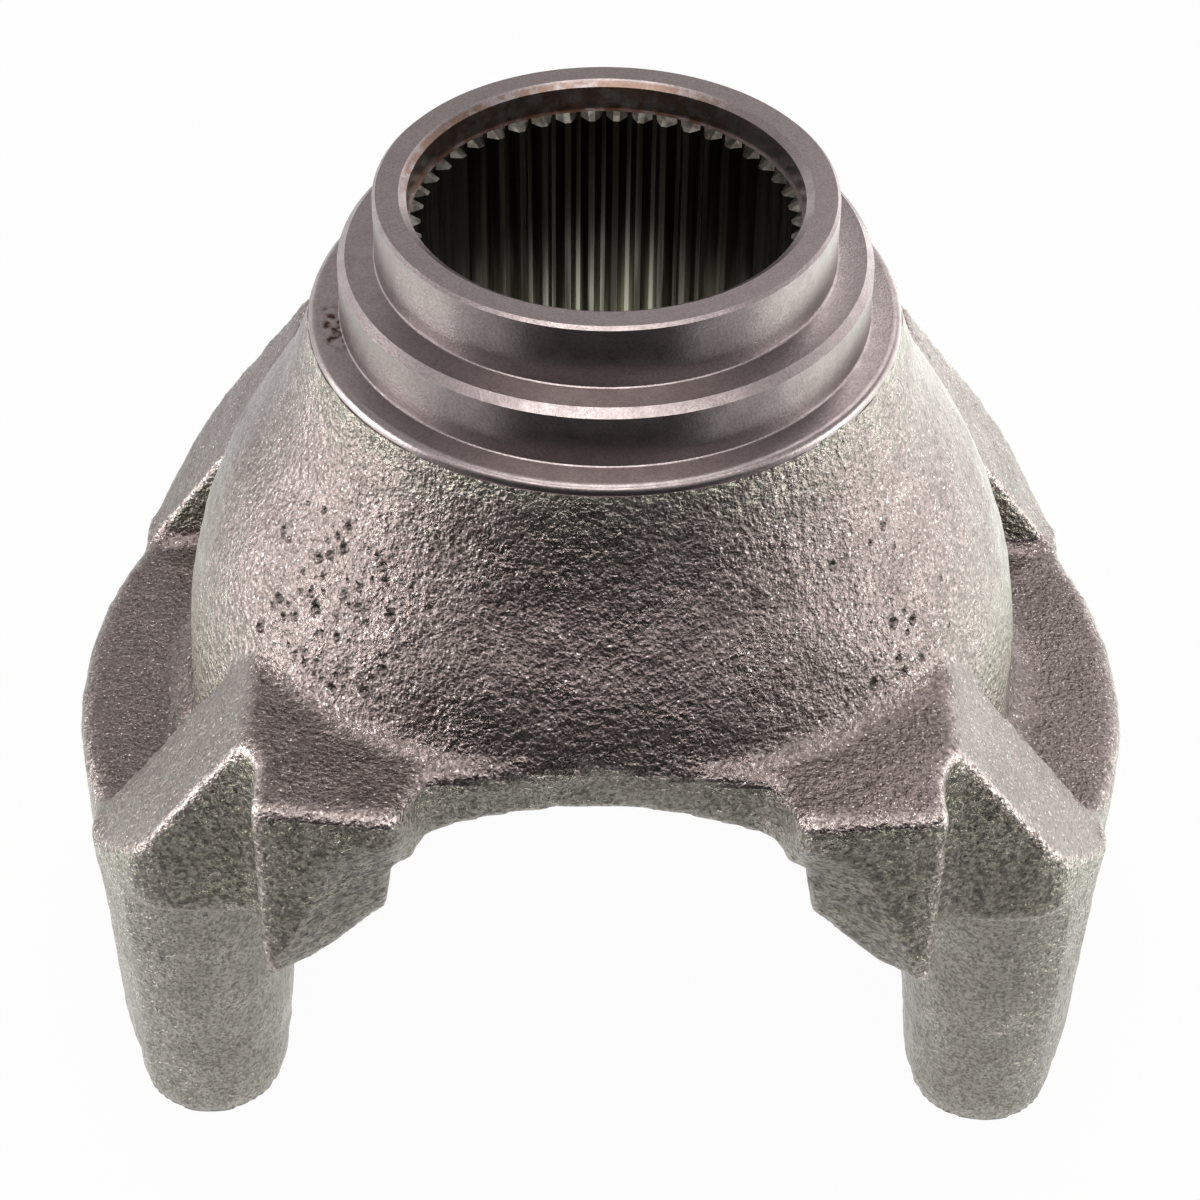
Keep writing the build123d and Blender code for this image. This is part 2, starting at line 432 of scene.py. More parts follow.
@dataclass(frozen=True)
class ForgedFinish:
    """Shot-blasted forging skin, grey-green on its sides, with painted shade and tint that make it darker
    and browner where it faces up, small flecks of painted glint, painted shade in its grain's valleys and on
    the fronts of fins and columns, and pale edges and fillets from wear and painted highlight.
    """

    side: Colour = (0.410, 0.393, 0.335)
    # top: painted shade and tint on up-facing faces, darker and browner than the sides because of how the
    # light falls on them
    top: Colour = (0.208, 0.172, 0.164)
    # edge: pale colour of edges and fillets, partly real wear and partly painted highlight
    edge: Colour = (0.66, 0.58, 0.55)
    # Dark colour shared by soot and painted shade: the clouds and speckle take it as soot, the grain's
    # valleys and the front mottles as painted shade.
    soot_and_shade: Colour = (0.040, 0.034, 0.030)
    # Painted shade: the darker colour of the fin and column fronts.
    shaded_front: Colour = (0.350, 0.334, 0.272)
    # Painted glint: the colour of small pale flecks that stand in for glints.
    painted_glint: Colour = (0.85, 0.79, 0.77)
    cloud_mm: float = 9.0
    grain_mm: float = 0.85
    fine_grain_mm: float = 0.42
    peel_mm: float = 1.5
    speckle_mm: float = 0.55
    painted_glint_mm: float = 0.50
    front_shade_mottle_mm: float = 1.3
    coarse_grain_mm: float = 1.8
    coarse_depth_mm: float = 0.75
    grain_depth_mm: float = 0.46
    fine_depth_mm: float = 0.12
    upward_ramp: Ramp = (0.05, 0.40)
    cloud_ramp: Ramp = (0.32, 0.68)
    shaded_valley_ramp: Ramp = (0.66, 0.50)
    wear_and_highlight_ramp: Ramp = (0.04, 0.22)
    wear_and_highlight_grain_ramp: Ramp = (0.36, 0.52)
    front_shade_mottle_ramp: Ramp = (0.54, 0.42)
    speckle_ramp: Ramp = (0.55, 0.38)
    painted_glint_ramp: Ramp = (0.64, 0.74)
    grain_share: float = 0.75
    peel_share: float = 0.24
    fine_share: float = 0.3
    cloud_soot: float = 0.22
    shaded_valley_share: float = 0.36
    front_shade_mottle_share: float = 0.55
    speckle_soot: float = 0.48
    wear_and_highlight_share: float = 0.85
    painted_glint_share: float = 0.12
    painted_glint_share_up: float = 0.43
    rugged: float = 2.2
    rugged_up: float = -1.12
    roughness: float = 0.25
    cloud_roughness: float = 0.08
    shaded_front_from_mm: tuple[float, float, float] = (30.0, 54.0, 60.0)
    shaded_front_fade_mm: float = 1.5
    shaded_front_ragged_mm: float = 9.0
    ragged_grain_mm: float = 5.0

    def material(self) -> bpy.types.Material:
        """Builds the material.

        Returns:
            The forged steel material.
        """
        s = Shader("forged_skin")
        upward = s.ramp(s.split(s.geometry.outputs["True Normal"])[2], *self.upward_ramp)
        cloud = s.ramp(s.grain(self.cloud_mm, 3.0), *self.cloud_ramp)
        peel = s.times(s.cells(self.peel_mm), self.peel_share)
        shot = s.plus(s.times(s.grain(self.grain_mm, 4.0), self.grain_share), peel)
        fine = s.grain(self.fine_grain_mm, 2.0)
        # Painted shade: the low points of the grain's relief are darkened.
        shaded_valley = s.ramp(s.plus(shot, s.times(fine, self.fine_share)), *self.shaded_valley_ramp)
        # Edges and fillets, concave ones too: partly real wear, partly painted highlight.
        wear_and_highlight = s.ramp(s.attribute("edge_wear_and_highlight"), *self.wear_and_highlight_ramp)
        wear_and_highlight = s.times(wear_and_highlight, s.ramp(shot, *self.wear_and_highlight_grain_ramp))
        speckle = s.ramp(s.grain(self.speckle_mm, 3.0), *self.speckle_ramp)
        # Painted glint: sparse pale flecks, more of them where the skin faces up.
        painted_glint = s.ramp(s.grain(self.painted_glint_mm, 1.0), *self.painted_glint_ramp)
        painted_glint = s.times(painted_glint, s.plus(self.painted_glint_share, s.times(upward, self.painted_glint_share_up)))
        # Painted shade on the fronts of fins and columns above the parting line.
        scale = self.front_shade_share(s)
        upright = s.math("SUBTRACT", 1.0, upward)
        # Painted shade: darker mottles on the shaded fronts of fins and columns, on faces that stand
        # upright.
        front_shade_mottle = s.times(s.ramp(s.grain(self.front_shade_mottle_mm, 3.0), *self.front_shade_mottle_ramp), s.times(scale, self.front_shade_mottle_share))
        # Painted shade: up-facing faces take the darker, browner top colour, and the fronts of fins and
        # columns a darker front colour.
        tint = s.mix(upward, s.mix(scale, self.side, self.shaded_front), self.top)
        tint = s.mix(s.times(cloud, self.cloud_soot), tint, self.soot_and_shade)
        # Painted shade in the grain's valleys.
        tint = s.mix(s.times(shaded_valley, self.shaded_valley_share), tint, self.soot_and_shade)
        tint = s.mix(s.times(front_shade_mottle, upright), tint, self.soot_and_shade)
        tint = s.mix(s.times(wear_and_highlight, self.wear_and_highlight_share), tint, self.edge)
        tint = s.mix(speckle, tint, s.mix(self.speckle_soot, tint, self.soot_and_shade))
        tint = s.mix(painted_glint, tint, self.painted_glint)
        rugged = s.plus(self.rugged, s.times(upward, self.rugged_up))
        normal = s.relief(s.times(s.grain(self.coarse_grain_mm, 2.0), upright), self.coarse_depth_mm)
        normal = s.relief(s.times(shot, rugged), self.grain_depth_mm, normal)
        normal = s.relief(s.times(fine, rugged), self.fine_depth_mm, normal)
        rough = s.plus(self.roughness, s.times(cloud, self.cloud_roughness))
        return s.finish(base_color=tint, metallic=1.0, roughness=rough, normal=normal)

    def front_shade_share(self, s: Shader) -> bpy.types.NodeSocket:
        """Marks the fronts of fins and columns above the parting line, which are painted darker as painted
        shade.

        Args:
            s: The shader to add it to.

        Returns:
            A socket that is 1 on those fronts.
        """
        x, y, z = s.split(s.place)
        ragged = s.math("SUBTRACT", s.grain(self.ragged_grain_mm, 4.0), 0.5)
        line = s.plus(z, s.times(ragged, self.shaded_front_ragged_mm * MM))
        share = None
        for place, start in zip((x, y, line), self.shaded_front_from_mm):
            step = s.ramp(s.math("ABSOLUTE", place), start * MM, (start + self.shaded_front_fade_mm) * MM)
            share = step if share is None else s.times(share, step)
        return share


@dataclass(frozen=True)
class TurnedFinish:
    """Lathe-turned steel with fine rings, handling marks and a rust stain on the flange ledge."""

    bright: Colour = (0.30, 0.265, 0.262)
    dull: Colour = (0.150, 0.122, 0.120)
    rust: Colour = (0.045, 0.018, 0.010)
    orange: Colour = (0.150, 0.082, 0.050)
    ring_mm: float = 0.10
    ring_depth_mm: float = 0.010
    ring_stretch_mm: float = 1.2
    blotch_mm: float = 3.0
    blotch_ramp: Ramp = (0.35, 0.68)
    blotch_share: float = 0.25
    blotch_roughness: float = 0.06
    roughness: float = 0.29
    fine_mm: float = 0.4
    fine_depth_mm: float = 0.03
    fine_ramp: Ramp = (0.56, 0.40)
    fine_share: float = 0.35
    stain_turn: Ramp = (-3.13, -2.78)
    stain_turn_fade: float = 0.1
    stain_radius_mm: Ramp = (41.2, 44.4)
    stain_fade_mm: Ramp = (0.4, 0.8)
    stain_mm: float = 1.6
    stain_ramp: Ramp = (0.40, 0.60)
    streak_radius_mm: Ramp = (31.4, 31.0)
    streak_turn: Ramp = (0.6, 1.2)
    streak_mm: float = 2.4
    streak_ramp: Ramp = (0.36, 0.56)
    streak_share: float = 0.7

    def material(self) -> bpy.types.Material:
        """Builds the material.

        Returns:
            The turned steel material.
        """
        s = Shader("turned_steel")
        x, y, z = s.split(s.place)
        radius = s.math("SQRT", s.plus(s.times(x, x), s.times(y, y)))
        turn = s.math("ARCTAN2", y, x)
        swept = s.join(s.times(turn, self.ring_stretch_mm * MM), radius, z)
        rings = s.grain(self.ring_mm, 3.0, swept)
        blotch = s.ramp(s.grain(self.blotch_mm, 4.0), *self.blotch_ramp)
        fine = s.grain(self.fine_mm, 3.0)
        tint = s.mix(s.times(blotch, self.blotch_share), self.bright, self.dull)
        tint = s.mix(s.times(s.ramp(fine, *self.fine_ramp), self.fine_share), tint, self.dull)
        tint = s.mix(self.stain_share(s, radius, turn), tint, self.rust)
        tint = s.mix(self.streak(s, radius, turn), tint, self.orange)
        normal = s.relief(rings, self.ring_depth_mm)
        normal = s.relief(fine, self.fine_depth_mm, normal)
        rough = s.plus(self.roughness, s.times(blotch, self.blotch_roughness))
        return s.finish(base_color=tint, metallic=1.0, roughness=rough, normal=normal)

    def stain_share(
        self, s: Shader, radius: bpy.types.NodeSocket, turn: bpy.types.NodeSocket
    ) -> bpy.types.NodeSocket:
        """Marks the rust stain on the flange ledge.

        Args:
            s: The shader to add it to.
            radius: Distance from the hub axis.
            turn: Direction round the hub axis in radians.

        Returns:
            A socket that is 1 in the stain.
        """
        first, last = self.stain_turn
        inner, outer = self.stain_radius_mm
        fade_in, fade_out = self.stain_fade_mm
        arc = s.times(
            s.ramp(turn, first, first + self.stain_turn_fade),
            s.ramp(turn, last, last - self.stain_turn_fade),
        )
        ledge = s.times(
            s.ramp(radius, inner * MM, (inner + fade_in) * MM),
            s.ramp(radius, outer * MM, (outer - fade_out) * MM),
        )
        ragged = s.ramp(s.grain(self.stain_mm, 4.0), *self.stain_ramp)
        return s.times(s.times(arc, ledge), ragged)

    def streak(
        self, s: Shader, radius: bpy.types.NodeSocket, turn: bpy.types.NodeSocket
    ) -> bpy.types.NodeSocket:
        """Marks the orange rust inside the bore's mouth.

        Args:
            s: The shader to add it to.
            radius: Distance from the hub axis.
            turn: Direction round the hub axis in radians.

        Returns:
            A socket that rises to the streak's share.
        """
        outer, inner = self.streak_radius_mm
        inside = s.times(s.ramp(radius, outer * MM, inner * MM), s.ramp(turn, *self.streak_turn))
        inside = s.times(inside, s.ramp(s.grain(self.streak_mm, 3.0), *self.streak_ramp))
        return s.times(inside, self.streak_share)


@dataclass(frozen=True)
class BroachedFinish:
    """Broached spline steel: dark, oily, with fine streaks along the bore, and painted light that makes it
    brighter lower down the bore.
    """

    steel: Colour = (0.085, 0.080, 0.070)
    # Painted light: the wall's colour lower down the bore, as if lit from below through the throat.
    painted_light: Colour = (0.62, 0.61, 0.50)
    oil: Colour = (0.022, 0.020, 0.016)
    painted_light_from_mm: float = 136.0
    painted_light_to_mm: float = 112.0
    stretch: float = 0.04
    streak_mm: float = 0.7
    streak_depth_mm: float = 0.05
    oily_mm: float = 2.2
    oily_ramp: Ramp = (0.36, 0.60)
    oily_share: float = 0.85
    roughness: float = 0.30

    def material(self) -> bpy.types.Material:
        """Builds the material.

        Returns:
            The broached steel material.
        """
        s = Shader("broached_steel")
        x, y, z = s.split(s.place)
        along = s.join(x, y, s.times(z, self.stretch))
        streak = s.grain(self.streak_mm, 3.0, along)
        oily = s.ramp(s.grain(self.oily_mm, 3.0, along), *self.oily_ramp)
        # Painted light: the bore's wall is painted brighter lower down.
        depth = s.ramp(z, self.painted_light_from_mm * MM, self.painted_light_to_mm * MM)
        tint = s.mix(depth, self.steel, self.painted_light)
        tint = s.mix(s.times(oily, self.oily_share), tint, self.oil)
        normal = s.relief(streak, self.streak_depth_mm)
        return s.finish(base_color=tint, metallic=1.0, roughness=self.roughness, normal=normal)


@dataclass(frozen=True)
class Seat:
    """A bearing seat in the ears and its retaining shoulder, in millimetres."""

    radius: float = 24.6
    shoulder_radius: float = 21.6
    reach: float = 77.4


@dataclass
class Blank:
    """The forging before machining, with its cuts filled, its edges soft and its skin rough."""

    voxel_mm: float = 1.18
    soften_steps: int = 4
    soften_factor: float = 0.5
    seat: Seat = Seat()
    ear_reach: float = 84.0
    ear_root: float = 56.0
    spare: float = 1.0
    foot: float = 10.0
    weld_mm: float = 0.001
    bore_r: float = 34.5
    bore_level: float = 88.0
    bore_top: float = 120.0
    flange_r: float = 46.2
    flange_level: float = 133.0
    stock_top: float = 164.0
    wave_mm: float = 7.0
    wave_depth_mm: float = 0.20
    lump_mm: float = 2.8
    lump_depth_mm: float = 0.17

    def build(self) -> bpy.types.Object:
        """Makes the blank.

        Returns:
            The blank as one closed mesh with a edge_wear_and_highlight attribute.
        """
        blank = self.filled_copy()
        remesh = blank.modifiers.new("skin", "REMESH")
        remesh.mode = "VOXEL"
        remesh.voxel_size = self.voxel_mm * MM
        baked(blank)
        self.soften(blank)
        self.roughen(blank)
        return blank

    def filled_copy(self) -> bpy.types.Object:
        """Copies the frame's solid and fills its machined cuts.

        Returns:
            The copy joined with its fillings.
        """
        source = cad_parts[NODE]
        blank = link(bpy.data.objects.new("forged_yoke", source.data.copy()))
        blank.data.materials.clear()
        parts = [blank, self.mirrored_foot(source)]
        for side in (-1, 1):
            for radius, reach in (
                (self.seat.radius, self.seat.reach),
                (self.seat.shoulder_radius, self.ear_reach),
            ):
                near, far = side * self.ear_root, side * (reach + self.spare / 2)
                wide = radius + self.spare
                profile = [(0, near), (wide, near), (wide, far), (0, far)]
                parts.append(lathe("seat_fill", profile, Surface.FORGED, Axis.BEARING))
        hub = [
            (0, self.bore_level),
            (self.bore_r, self.bore_level),
            (self.bore_r, self.bore_top),
            (self.flange_r, self.flange_level),
            (self.flange_r, self.stock_top),
            (0, self.stock_top),
        ]
        parts.append(lathe("hub_fill", hub, Surface.FORGED))
        for obj in bpy.context.selected_objects:
            obj.select_set(False)
        for obj in parts:
            obj.select_set(True)
        bpy.context.view_layer.objects.active = blank
        bpy.ops.object.join()
        blank.select_set(False)
        return blank

    def mirrored_foot(self, source: bpy.types.Object) -> bpy.types.Object:
        """Mirrors the lowest part of the ears below their ends, so that the ends are cut sharp.

        Args:
            source: The frame's solid.

        Returns:
            The mirrored part, closed.
        """
        bm = bmesh.new()
        bm.from_mesh(source.data)
        bmesh.ops.remove_doubles(bm, verts=bm.verts, dist=self.weld_mm * MM)
        everything = bm.verts[:] + bm.edges[:] + bm.faces[:]
        level = (0, 0, self.foot * MM)
        bmesh.ops.bisect_plane(bm, geom=everything, plane_co=level, plane_no=UPRIGHT, clear_outer=True)
        bmesh.ops.holes_fill(bm, edges=[e for e in bm.edges if e.is_boundary])
        bmesh.ops.scale(bm, vec=(1, 1, -1), verts=bm.verts)
        bmesh.ops.reverse_faces(bm, faces=bm.faces)
        mesh = bpy.data.meshes.new("foot_fill")
        bm.to_mesh(mesh)
        bm.free()
        return link(bpy.data.objects.new("foot_fill", mesh))

    def soften(self, blank: bpy.types.Object) -> None:
        """Rounds every edge and corner, and stores how far each point moved as the edge_wear_and_highlight
        attribute, which the skin uses for edge wear and painted highlight alike.

        Args:
            blank: The remeshed blank.
        """
        before = points_of(blank)
        smooth = blank.modifiers.new("soften", "SMOOTH")
        smooth.factor = self.soften_factor
        smooth.iterations = self.soften_steps
        baked(blank)
        moved = np.linalg.norm(points_of(blank) - before, axis=1) / (self.voxel_mm * MM)
        wear_and_highlight = blank.data.attributes.new("edge_wear_and_highlight", "FLOAT", "POINT")
        wear_and_highlight.data.foreach_set("value", moved.astype(np.float32))

    def roughen(self, blank: bpy.types.Object) -> None:
        """Moves the skin in and out by two sizes of noise, and keeps it inside the frame's box.

        Args:
            blank: The softened blank.
        """
        low, high = (np.array(corner) for corner in CAD_BOX)
        low[2] -= self.foot * MM
        high[2] = self.stock_top * MM
        place = points_of(blank)
        for index, vertex in enumerate(blank.data.vertices):
            p = vertex.co / MM
            wave = noise.noise(p / self.wave_mm) * self.wave_depth_mm
            lump = noise.noise(p / self.lump_mm) * self.lump_depth_mm
            place[index] += np.array(vertex.normal) * (wave + lump) * MM
        place = np.clip(place, low, high)
        blank.data.vertices.foreach_set("co", place.astype(np.float32).ravel())
        blank.data.update()


def points_of(obj: bpy.types.Object) -> np.ndarray:
    """Reads a mesh's points.

    Args:
        obj: A mesh object.

    Returns:
        An array with one row per point, in metres.
    """
    place = np.empty(len(obj.data.vertices) * 3, np.float32)
    obj.data.vertices.foreach_get("co", place)
    return place.reshape(-1, 3).astype(float)


@dataclass
class Machining:
    """Everything that is cut into the blank, in millimetres."""

    seat: Seat = Seat()
    screw_x: float = 67.2
    screw_y: float = 38.1
    screw_r: float = 5.75
    screw_depth: float = 30.0
    screw_mouth: float = 1.0
    hub_face: float = 158.5
    rim_r: float = 35.5
    rim_foot: float = 147.8
    rim_break: float = 0.5
    seal_r: float = 41.275
    seal_lead: float = 1.2
    seal_foot: float = 137.8
    root_fillet: float = 0.5
    flange_r: float = 46.2
    flange_round: float = 1.5
    mouth_r: float = 31.5
    mouth_depth: float = 0.8
    counterbore_r: float = 30.3
    counterbore_floor: float = 153.5
    teeth: int = 46
    root_r: float = 29.9
    tip_r: float = 28.3
    gap_tip: float = 2.85
    gap_root: float = 0.7
    first_gap_deg: float = 4.88
    tooth_lead: float = 0.9
    nut_seat_r: float = 33.0
    nut_seat_level: float = 96.0
    throat_level: float = 74.0
    mouth_over: float = 2.0
    clear: float = 120.0
    tiny: float = 0.01
    flat_facing: float = 0.98

    def ear_ends(self) -> bpy.types.Object:
        """Makes the cutter that faces the ear ends.

        Returns:
            The cutter.
        """
        profile = [(0, -self.clear), (self.clear, -self.clear), (self.clear, 0), (0, 0)]
        return lathe("ear_ends", profile)

    def seats(self) -> bpy.types.Object:
        """Makes the cutter of both bearing seats and the gap through their retaining shoulders.

        Returns:
            The cutter.
        """
        radius, narrow, reach = self.seat.radius, self.seat.shoulder_radius, self.seat.reach
        profile = [(0, -self.clear), (narrow, -self.clear), (narrow, -reach), (radius, -reach)]
        profile += [(radius, reach), (narrow, reach), (narrow, self.clear), (0, self.clear)]
        return lathe("bearing_seats", profile, axis=Axis.BEARING)

    def screw_holes(self) -> list[bpy.types.Object]:
        """Makes the four strap screw holes, each with its mouth bevel.

        Returns:
            One cutter for each hole.
        """
        wide = self.screw_r + 2 * self.screw_mouth
        profile = [(0, -self.screw_mouth), (wide, -self.screw_mouth), (self.screw_r, self.screw_mouth)]
        profile += [(self.screw_r, self.screw_depth), (0, self.screw_depth)]
        corners = [(x * self.screw_x, y * self.screw_y) for x in (-1, 1) for y in (-1, 1)]
        return [lathe("strap_screw_hole", profile, centre=corner, segments=40) for corner in corners]

    def collar(self) -> bpy.types.Object:
        """Makes the cutter that turns the rim, seal journal and flange out of the blank.

        Returns:
            The cutter.
        """
        flange_low = self.seal_foot - self.flange_round
        profile = [(self.clear, flange_low), (self.flange_r, flange_low)]
        profile += corner_arc(
            (self.flange_r, flange_low + self.tiny),
            (self.flange_r, self.seal_foot),
            (self.flange_r - self.flange_round, self.seal_foot),
        )
        profile += self.root(self.seal_r, self.seal_foot)
        lead = self.seal_lead
        profile += [(self.seal_r, self.rim_foot - lead), (self.seal_r - lead, self.rim_foot)]
        profile += self.root(self.rim_r, self.rim_foot)
        rim_top = self.hub_face - self.rim_break
        profile += [(self.rim_r, rim_top), (self.rim_r - self.rim_break, self.hub_face)]
        profile += [(0, self.hub_face), (0, 2 * self.clear), (self.clear, 2 * self.clear)]
        start = profile.index((0, self.hub_face))
        ordered = profile[start + 1 :] + profile[: start + 1]
        return lathe("collar_profile", ordered, segments=256)

    def root(self, radius: float, level: float) -> list[Ring]:
        """Rounds the corner where a step of the collar meets the ledge below it.

        Args:
            radius: Radius of the step.
            level: Level of the ledge.

        Returns:
            The points from the ledge up to the step.
        """
        fillet = self.root_fillet
        return corner_arc((radius + fillet, level), (radius, level), (radius, level + fillet), 3)

    def bore(self) -> bpy.types.Object:
        """Makes the cutter of the mouth, counterbore, spline and nut seat.

        Returns:
            The cutter, its toothed walls broached.
        """
        pitch = 2 * math.pi / self.teeth
        shape = []
        for tooth in range(self.teeth):
            middle = math.radians(self.first_gap_deg) + tooth * pitch
            for side, depth in ((-1, 0), (-1, 1), (1, 1), (1, 0)):
                width, radius = (self.gap_root, self.root_r) if depth else (self.gap_tip, self.tip_r)
                half = width / 2 / radius
                shape.append((middle + side * half, depth))
            shape.append((middle + pitch / 2, 0))
        rise = self.mouth_depth / (self.mouth_r - self.counterbore_r)
        over = self.mouth_over
        levels = [
            (self.nut_seat_r, self.nut_seat_r, self.throat_level),
            (self.nut_seat_r, self.nut_seat_r, self.nut_seat_level),
            (self.root_r, self.root_r, self.nut_seat_level),
            (self.tip_r, self.root_r, self.nut_seat_level + self.tooth_lead),
            (self.tip_r, self.root_r, self.counterbore_floor - self.tooth_lead),
            (self.root_r, self.root_r, self.counterbore_floor),
            (self.counterbore_r, self.counterbore_r, self.counterbore_floor),
            (self.counterbore_r, self.counterbore_r, self.hub_face - self.mouth_depth),
            (self.mouth_r + over, self.mouth_r + over, self.hub_face + over * rise),
        ]
        rings = [[Vector((0, 0, levels[0][2]))]]
        for tip, root, level in levels:
            ring = []
            for turn, depth in shape:
                radius = root if depth else tip
                ring.append(Vector((radius * math.cos(turn), radius * math.sin(turn), level)))
            rings.append(ring)
        rings.append([Vector((0, 0, levels[-1][2]))])
        cutter = turned_solid("splined_bore", rings, Surface.TURNED)
        low, high = self.nut_seat_level, self.counterbore_floor
        for face in cutter.data.polygons:
            toothed = low - 10 * self.tiny < face.center.z / MM < high - 2 * self.tiny
            if toothed and abs(face.normal.z) < self.flat_facing:
                face.material_index = Surface.BROACHED.value
        return cutter

    def cut(self, blank: bpy.types.Object, cutters: list[bpy.types.Object]) -> None:
        """Cuts each tool out of the blank and removes it.

        Args:
            blank: The forging blank.
            cutters: The solids to take away.
        """
        for cutter in cutters:
            for material in blank.data.materials:
                cutter.data.materials.append(material)
            away = blank.modifiers.new(cutter.name, "BOOLEAN")
            away.operation = "DIFFERENCE"
            away.solver = "MANIFOLD"
            away.object = cutter
            baked(blank)
            bpy.data.objects.remove(cutter)


@dataclass(frozen=True)
class PitPatch:
    """A patch of the bell's skin that holds pits.

    Attributes:
        count: How many pits are tried.
        turns: First and last direction in degrees.
        levels: Lowest and highest level in millimetres.
    """

    count: int
    turns: Ramp
    levels: Ramp


@dataclass
class Pits:
    """Scale pits in the bell's skin, as small round bites."""

    seed: int = 46
    patches: tuple[PitPatch, ...] = (
        PitPatch(74, (-152.0, -114.0), (99.0, 121.0)),
        PitPatch(18, (-60.0, -22.0), (99.0, 122.0)),
    )
    reach_mm: float = 90.0
    radius_mm: Ramp = (0.40, 1.15)
    small_bias: float = 2.2
    apart: float = 1.1
    lift: float = 0.35

    def bites(self, blank: bpy.types.Object) -> list[bpy.types.Object]:
        """Places the pits on the bell's skin.

        Args:
            blank: The forging blank, whose surface they sit on.

        Returns:
            One object that holds all the bites.
        """
        bm = bmesh.new()
        kept: list[tuple[Vector, float]] = []
        for outward, height, size in self.spots():
            start = (outward * self.reach_mm + Vector((0, 0, height))) * MM
            hit, place, normal, _ = blank.ray_cast(start, -outward)
            crowded = any((place - other).length < (size + near) * self.apart * MM for other, near in kept)
            if not hit or crowded:
                continue
            kept.append((place, size))
            made = bmesh.ops.create_icosphere(bm, subdivisions=2, radius=size * MM)
            bmesh.ops.translate(bm, verts=made["verts"], vec=place + normal * self.lift * size * MM)
        mesh = bpy.data.meshes.new("pits")
        bm.to_mesh(mesh)
        bm.free()
        log.info("pits: %d bites", len(kept))
        return [link(bpy.data.objects.new("pits", mesh))]

    def spots(self) -> list[tuple[Vector, float, float]]:
        """Draws the pits' places.

        Returns:
            For each pit its direction from the hub axis, its level and its radius in millimetres.
        """
        draw = random.Random(self.seed)
        small, large = self.radius_mm
        spots = []
        for patch in self.patches:
            for _ in range(patch.count):
                angle = math.radians(draw.triangular(*patch.turns, sum(patch.turns) / 2))
                height = draw.uniform(*patch.levels)
                size = small + (large - small) * draw.random() ** self.small_bias
                spots.append((Vector((math.cos(angle), math.sin(angle), 0)), height, size))
        return spots


@dataclass
class Yoke:
    """The whole forging as one piece."""

    blank: Blank
    machining: Machining
    pits: Pits
    sharp_deg: float = 24.0
    sliver_mm: float = 0.001

    def build(self) -> bpy.types.Object:
        """Makes, machines and dresses the yoke.

        Returns:
            The finished piece.
        """
        piece = self.blank.build()
        log.info("blank: %d faces", len(piece.data.polygons))
        for finish in (ForgedFinish(), TurnedFinish(), BroachedFinish()):
            piece.data.materials.append(finish.material())
        bpy.context.view_layer.update()
        m = self.machining
        cutters = self.pits.bites(piece)
        cutters += [m.ear_ends(), m.seats(), *m.screw_holes(), m.collar(), m.bore()]
        m.cut(piece, cutters)
        self.shade(piece)
        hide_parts(NODE)
        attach(piece, BODY)
        triangles = sum(len(p.vertices) - 2 for p in piece.data.polygons)
        log.info("forged_yoke: %d triangles", triangles)
        return piece

    def shade(self, piece: bpy.types.Object) -> None:
        """Clears slivers, shades the skin smooth and keeps machined edges sharp.

        Args:
            piece: The machined piece.
        """
        bm = bmesh.new()
        bm.from_mesh(piece.data)
        bmesh.ops.dissolve_degenerate(bm, dist=self.sliver_mm * MM, edges=bm.edges)
        for face in bm.faces:
            face.smooth = True
        for edge in bm.edges:
            faces = edge.link_faces
            if len(faces) != 2:
                continue
            seam = faces[0].material_index != faces[1].material_index
            machined = faces[0].material_index != Surface.FORGED.value
            sharp = edge.calc_face_angle(0.0) > math.radians(self.sharp_deg)
            edge.smooth = not (seam or (machined and sharp))
        bm.to_mesh(piece.data)
        bm.free()


@dataclass
class ProductCamera:
    """The camera at the photograph's angle and distance: turns in radians, places in metres."""

    elevation: float = 0.721894
    roll: float = 0.0111261
    distance: float = 0.50826
    aim: tuple[float, float, float] = (-0.0003, 0.0, 0.07571)
    lens_mm: float = 90.0
    sensor_mm: float = 36.0
    clip_start: float = 0.01

    def build(self) -> bpy.types.Object:
        """Makes the camera and gives it to the scene.

        Returns:
            The camera object.
        """
        forward = Vector((0, math.cos(self.elevation), -math.sin(self.elevation)))
        up = Vector((0, math.sin(self.elevation), math.cos(self.elevation)))
        right = Vector((1, 0, 0))
        side = math.cos(self.roll) * right + math.sin(self.roll) * up
        top = -math.sin(self.roll) * right + math.cos(self.roll) * up
        data = bpy.data.cameras.new("camera")
        data.lens = self.lens_mm
        data.sensor_width = self.sensor_mm
        data.clip_start = self.clip_start
        camera = link(bpy.data.objects.new("camera", data))
        turn = Matrix((side, top, -forward)).transposed()
        camera.matrix_world = Matrix.Translation(Vector(self.aim) - self.distance * forward) @ turn.to_4x4()
        bpy.context.scene.camera = camera
        return camera


@dataclass(frozen=True)
class Screen:
    """A curved card round the yoke that only the metal sees.

    Attributes:
        name: Its name.
        level: Its brightness, where 1 is white.
        turns: First and last direction in degrees, from the camera's side round to the right.
        rises: Lowest and highest elevation in degrees. Below 0 it lies on the floor.
        colour: Its tint.
    """

    name: str
    level: float
    turns: tuple[float, float]
    rises: tuple[float, float]
    colour: Colour = (1.0, 0.955, 0.945)

    @property
    def is_lamp(self) -> bool:
        """Says whether it is brighter than the white surround.

        Returns:
            True for a bright one.
        """
        return self.level > 1.0


